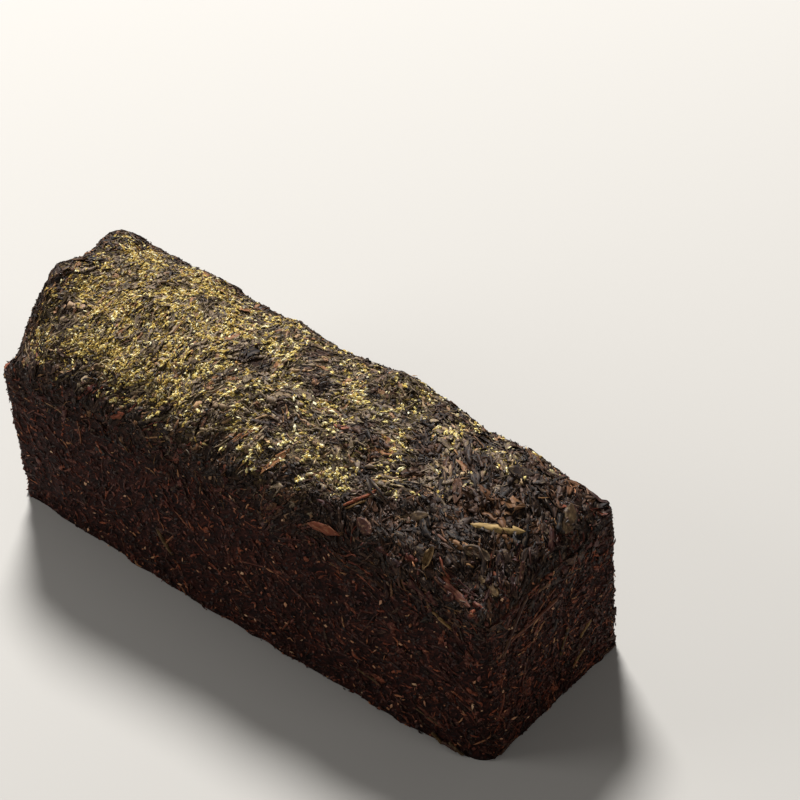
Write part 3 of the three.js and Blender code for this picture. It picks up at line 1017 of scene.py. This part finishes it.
standout = {
    "leaves": [  # face, first place, second place, width, zone, tone, how much higher it lies than the rest
        ("crown", (94.4, 21.6), (109.8, 36.2), 4.4, "worn", 0.75, 0.7),
        ("crown", (94.9, 4.5), (112.9, 1.9), 3.6, "rusty", 0.35, 0.2),
        ("crown", (87.9, 11.4), (89.2, 3.6), 3.2, "ochre", 0.55, 0.2),
        ("crown", (108.8, 11.4), (117.7, 9.7), 6, "ochre", 0.35, 0.2),
        ("crown", (25.7, 32.9), (32.2, 34.3), 2.6, "rusty", 0.95, 0.3),
        ("crown", (56.1, 7.7), (64, 5.9), 5, "rusty", 0.15, 0.3),
        ("crown", (72.2, 8.5), (89.4, 7.6), 6.5, "dark", 0.5, 0),
        ("crown", (88.6, 14.5), (92.3, 25.9), 5, "dark", 0.8, 0),
        ("crown", (106.1, 23.8), (116.2, 30.1), 7, "dark", 0.9, 0),
        ("crown", (103.2, 6.2), (114.3, 8.6), 6, "dark", 0.35, 0),
        ("crown", (104.8, 49.8), (116.1, 43.8), 7, "dark", 0.7, 0),
        ("crown", (50, 20), (66, 15), 3.2, "dark", 0.45, -0.4),
        ("crown", (98, 16), (108, 20), 5, "ochre", 0.05, 0),
        ("crown", (76, 20), (86, 25), 6, "dark", 0.6, 0),
        ("crown", (70, 12), (80, 19), 5, "ochre", 0.15, 0.2),
        ("crown", (90, 52), (103, 60), 7, "dark", 0.4, 0),
        ("crown", (113, 58), (117.5, 48), 6, "ochre", 0.2, 0.2),
        ("crown", (-56, 62), (-38, 50), 6, "dark", 0.9, 0),
        ("crown", (37, 1), (52.3, 1.6), 3.6, "rusty", 0.8, 0.3),
    ],
    "stems": [
        ("right", (4.4, 48.3), (38.9, 51.3), 1.3, "rusty", 0.5, 0),
        ("right", (7.1, 46.6), (24, 64.5), 2.4, "rusty", 0.05, 0),
        ("crown", (117.3, 21), (114.5, 30), 2, "rusty", 0.1, 0.3),
        ("front", (93.4, 62.7), (105.4, 58.8), 1.4, "ochre", 0.75, 0),
        ("crown", (48.4, 8.5), (57.7, 17), 1, "rusty", 0.9, 0.3),
        ("crown", (50.1, 10.6), (58.6, 18.7), 0.9, "rusty", 0.7, 0.3),
        ("crown", (49.5, 8), (56, 14), 0.8, "ochre", 0.7, 0.2),
        ("right", (50.5, 20.5), (58.1, 24.3), 1.3, "ochre", 0.8, 0),
        ("right", (43.6, 10), (50, 15.2), 1.1, "ochre", 0.7, 0),
        ("right", (46, 58), (50.6, 64), 1.3, "rusty", 0.75, 0),
        ("right", (38, 20), (44, 31), 1, "ochre", 0.4, 0),
        ("front", (-40, 29), (-33, 19), 1.6, "ochre", 0.45, 0),
        ("front", (2, 30), (10, 24), 1.1, "rusty", 0.5, 0),
        ("front", (60, 15), (73, 12), 0.8, "ochre", 0.35, 0),
        ("front", (88, 12), (99, 10), 0.7, "ochre", 0.3, 0),
        ("front", (94, 4), (99, 0.5), 1.3, "ochre", 0.5, 0.6),
        ("front", (99, 2), (107, 1.2), 1.5, "rusty", 0.05, 1.1),
        ("front", (103, 4), (110, 0.8), 1.1, "ochre", 0.25, 1.3),
        ("right", (1, 1), (9, 2.5), 1.2, "rusty", 0.05, 0.6),
        ("right", (60, 1.5), (69, 0.8), 1.1, "rusty", 0.0, 0.5),
        ("right", (63, 8), (70, 4), 1.2, "rusty", 0.0, 0.5),
    ],
    "zones": {"dark": 0, "ochre": 1, "rusty": 2, "worn": 3},
    "tones": [  # four quarters, in the order of the zones
        [(0, "#181110"), (0.5, "#2a1d16"), (1, "#3f2c1f")],
        [(0, "#35261a"), (0.5, "#574022"), (1, "#8f6a3a")],
        [(0, "#351a12"), (0.5, "#5c2d1c"), (1, "#8b472b")],
        [(0, "#6b5434"), (0.5, "#8c7044"), (1, "#a98d58")],
    ],
    "leafShape": {
        "section": ribbedSection, "stations": 15, "bluntness": (0.55, 0.8), "jagged": 0.03, "fold": 0.3,
        "twist": 0.3, "bow": 0.06, "curl": 0.25, "crumple": 0.08, "thickness": 0.6, "lift": 0.3},
    "stemShape": {  # as thick as it is wide
        "section": roundSection, "stations": 12, "bluntness": (0.06, 0.14), "jagged": 0.08, "fold": 0.0,
        "twist": 0.0, "bow": 0.04, "curl": 0.2, "crumple": 0.05, "thickness": None, "lift": 0.15},
    "stiff": 0.6,  # share of its height over a hollow that a piece keeps
    "streaks": (3000, 6, 1),
    "mottle": (0.35, 0.3),
    "worn": "#b39a70",
    "roughness": 0.6,
    "specular": 0.2,
}


def placeOn(face, first, second):
    # the two numbers of a place, as the face's own s and t
    half = loaf["length"] / 2
    if face == "crown":
        return first / half, 2 * second / widthAt(first, loaf["shoulder"]) - 1
    if face == "front":
        return first / half, 2 * second / crownAt(first, 0) - 1
    return 2 * first / widthAt(half, second) - 1, 2 * second / loaf["shoulder"] - 1


def addStandouts(name, shape, group):
    # strips as the scattered ones are made, as long as their two places are apart
    material = paletteMaterial(name, dict(standout, tones=sideBySide(standout["tones"])))
    points, uvs = [], []
    for face, first, second, width, zone, tone, rise in group:
        ends = np.array([placeOn(face, *first), placeOn(face, *second)]).T
        s, t = ends.mean(1)
        spots = onFace(face, *ends)
        length = np.linalg.norm(spots[1] - spots[0])
        along, across, out = directionsOn(face, s, t)
        ahead = along / np.linalg.norm(along)
        way = spots[1] - spots[0]
        turn = math.atan2(way @ np.cross(out, ahead), way @ ahead)
        shapes, section, share = strips(shape, np.array([[length, width, shape["thickness"] or width]]))
        s, t, turn, tilt, lift = (np.array([value]) for value in (s, t, turn, 0.0, shape["lift"] + rise))
        points.append(drape(face, s, t, shapes, turn, tilt, lift, standout["stiff"]).reshape(-1, 3))
        band = np.array([(standout["zones"][zone] + 0.03 + 0.94 * tone) / 4])
        uvs.append(paletteUv(section, share, band).reshape(-1, 2))
    faces = stripFaces(len(group), shape["stations"], len(shape["section"]))
    corners = np.concatenate([part.ravel() for part in faces])
    piece = addPiece(name, np.concatenate(points), faces, np.concatenate(uvs)[corners], material)


addStandouts("largeLeaves", standout["leafShape"], standout["leaves"])
addStandouts("longStems", standout["stemShape"], standout["stems"])
print("standing pieces laid")


# Crumbs: the smallest bits of leaf, which fill in between all the others

crumbs = {
    "on": {"crown": 5600, "front": 2100, "back": 2100, "left": 900, "right": 1200},
    "length": (0.7, 2.6),
    "width": (0.4, 1.4),
    "thickness": (0.3, 0.8),
    "unequal": 1.0,
    "uneven": 0.25,
    "tilt": 0.35,
    "lift": (0, 0.7),
    # the walls' palest tones, which only a few crumbs draw, are painted glints
    "tones": zoned(
        [(0, "#130807"), (0.35, "#2a1410"), (0.68, "#472018"),
         (0.88, "#743a27"), (0.95, "#aa6842"), (1, "#e0ba92")],
        [(0, "#110d0b"), (0.35, "#231813"), (0.7, "#38261c"), (0.93, "#523826"), (1, "#96704a")],
        [(0, "#2b2420"), (0.35, "#453a2f"), (0.7, "#61523c"), (0.93, "#7c6838"), (1, "#a8965a")],
    ),
    "streaks": (900, 4, 1),
    "mottle": (0.6, 0.2),
    "worn": "#8a7358",
    "roughness": 0.6,
    "specular": 0.3,
}


octahedron = np.array([(1, 0, 0), (-1, 0, 0), (0, 1, 0), (0, -1, 0), (0, 0, 1), (0, 0, -1)], float)
octahedronFaces = np.array(
    [(0, 2, 4), (2, 1, 4), (1, 3, 4), (3, 0, 4), (2, 0, 5), (1, 2, 5), (3, 1, 5), (0, 3, 5)])


def addOctahedra(name, points, tones, material):
    # one piece of many octahedra, from six points and a tone for each: u is the tone and v runs along it
    count = len(points)
    faces = (octahedronFaces[None] + 6 * np.arange(count)[:, None, None]).reshape(-1, 3)
    u = np.broadcast_to(tones[:, None], (count, 6))
    v = np.broadcast_to(octahedron[None, :, 0] * 0.4 + 0.5, (count, 6))
    uv = inMap(u, v).reshape(-1, 2)[faces.ravel()]
    return addPiece(name, points.reshape(-1, 3), [faces], uv, material, False)


def addCrumbs():
    # uneven octahedra, drawn out and pressed flat
    points, tones = [], []
    for face, count in crumbs["on"].items():
        s, t = spreadOver(face, count)
        sizes = drawnSizes(crumbs, count)
        push = 1 + crumbs["uneven"] * draw.normal(size=(count, 6, 3))
        shapes = octahedron[None] * sizes[:, None] / 2 * push
        turn = between((0, math.pi), count)
        tilt = draw.normal(size=count) * crumbs["tilt"]
        points.append(drape(face, s, t, shapes, turn, tilt, between(crumbs["lift"], count)))
        tones.append(drawnTones(onFace(face, s, t)))
    material = paletteMaterial("crumbs", crumbs)
    piece = addOctahedra("crumbs", np.concatenate(points), np.concatenate(tones), material)


addCrumbs()
print("crumbs laid")


# Golden bloom: powdery grains in small clumps, sitting on whatever is uppermost on the crown

bloom = {
    "clumps": 2700,
    "grains": 16500,
    "clumpReach": 0.8,  # mm, how far a clump's grains lie from its middle, along the flow
    "clumpAside": 0.35,
    "stray": 0.7,
    "radius": (0.13, 0.48),
    "leftAndRight": (-100, 20),  # x up to which the first and from which the second number of a pair applies
    "growth": (0.9, 1.2),  # what the radius is times, at the left and at the right
    "gathering": 1.5,  # power of the field's share: the higher, the more they keep to its middle
    "clumpSizes": (1.3, 0.1),  # power of an exponential draw, and the least size
    "raised": 0.3,  # share of a grain's radius that its middle stands proud by
    "under": ("teaBrick", "crownLeaves", "broadLeaves", "crownShreds", "crumbs"),
    "rayStart": 5,  # mm outside the loaf
    "rayReach": 0.02,  # m
    "unequal": 1.7,
    "stretch": (1, 2.6),
    "flatness": 0.7,
    "uneven": 0.2,
    "thickness": [(-117, 1.5), (-50, 1.15), (0, 0.52), (110, 0.38)],  # by x
    # grains are drawn paler towards the right, and the near-white tone at 0.93 is a painted highlight on the
    # gold
    "deepening": (2.4, 0.8),  # power of the draw of tones, at the left and at the right
    "tones": [(0, "#98793a"), (0.3, "#c4a853"), (0.65, "#e1d088"), (0.93, "#f6eec8"), (1, "#c08a4a")],
    "streaks": (400, 5, 1),
    "mottle": (0.8, 0.0),
    "worn": "#f1e9c0",
    "roughness": 0.8,
    "specular": 0.2,
}


def uppermost(spots, outs):
    # where a ray from outside, straight in at each spot, first meets the brick
    bpy.context.view_layer.update()
    points, faces, first = [], [], 0
    for name in bloom["under"]:
        mesh = bpy.data.objects[name].data
        co = np.empty(len(mesh.vertices) * 3, np.float32)
        mesh.vertices.foreach_get("co", co)
        mesh.calc_loop_triangles()
        tris = np.empty(len(mesh.loop_triangles) * 3, np.int32)
        mesh.loop_triangles.foreach_get("vertices", tris)
        points.append(co.reshape(-1, 3))
        faces.append(tris.reshape(-1, 3) + first)
        first += len(mesh.vertices)
    tree = BVHTree.FromPolygons(np.concatenate(points).tolist(), np.concatenate(faces).tolist())
    starts = toMetres(spots + outs * bloom["rayStart"])
    reach = bloom["rayReach"]
    hits = [tree.ray_cast(Vector(start), Vector(-out), reach) for start, out in zip(starts, outs)]
    met = np.array([hit[0] is not None for hit in hits])
    places = np.array([tuple(hit[0]) if hit[0] is not None else (0, 0, 0) for hit in hits])
    normals = np.array([tuple(hit[1]) if hit[0] is not None else (0, 0, 1) for hit in hits])
    return places * 1000 - loaf["middle"], normals, met


def addBloom():
    # grains: uneven octahedra, drawn out along the surface and pressed flat on it
    def density(middles):
        thickness = np.interp(middles[..., 0], *zip(*bloom["thickness"]))
        share = bloomAt(middles[..., 0], middles[..., 1] + loaf["footWidth"] / 2)
        return thickness * share ** bloom["gathering"]
    clumps, grains = bloom["clumps"], bloom["grains"]
    s, t = spreadOver("crown", clumps, density)
    power, least = bloom["clumpSizes"]
    size = draw.exponential(1, clumps) ** power + least
    whose = draw.choice(clumps, grains, p=size / size.sum())
    spots = onFace("crown", s, t)
    along, across, out = directionsOn("crown", s, t)
    streak = (flowAt("crown", spots) + draw.normal(size=clumps) * bloom["stray"])[whose]
    far = draw.normal(size=grains) * bloom["clumpReach"]
    aside = draw.normal(size=grains) * bloom["clumpAside"]
    ahead = along / np.linalg.norm(along, axis=-1, keepdims=True)
    sideways = np.cross(out, ahead)
    stepX = far * np.cos(streak) - aside * np.sin(streak)
    stepY = far * np.sin(streak) + aside * np.cos(streak)
    spots = spots[whose] + stepX[:, None] * ahead[whose] + stepY[:, None] * sideways[whose]
    places, normals, met = uppermost(spots, out[whose])
    places, normals, streak = places[met], normals[met], streak[met]
    count = len(places)
    radius = between(bloom["radius"], count, bloom["unequal"])[:, None, None]
    radius = radius * np.interp(places[:, 0], bloom["leftAndRight"], bloom["growth"])[:, None, None]
    shapes = octahedron[None] * radius * (1 + bloom["uneven"] * draw.normal(size=(count, 6, 1)))
    shapes[..., 0] *= between(bloom["stretch"], count)[:, None]
    shapes[..., 2] *= bloom["flatness"]
    side = np.stack([np.cos(streak), np.sin(streak), np.zeros(count)], -1)
    second = np.cross(normals, side)
    second /= np.linalg.norm(second, axis=-1, keepdims=True)
    first = np.cross(second, normals)
    basis = np.stack([first, second, normals], 1)
    points = places[:, None] + shapes @ basis + normals[:, None] * radius * bloom["raised"]
    # tones paler towards the right, where the near-white one paints highlights on the gold
    tones = draw.random(count) ** np.interp(places[:, 0], bloom["leftAndRight"], bloom["deepening"])
    piece = addOctahedra("goldenBloom", points, tones, paletteMaterial("golden_bloom", bloom))


addBloom()
print("golden bloom laid")
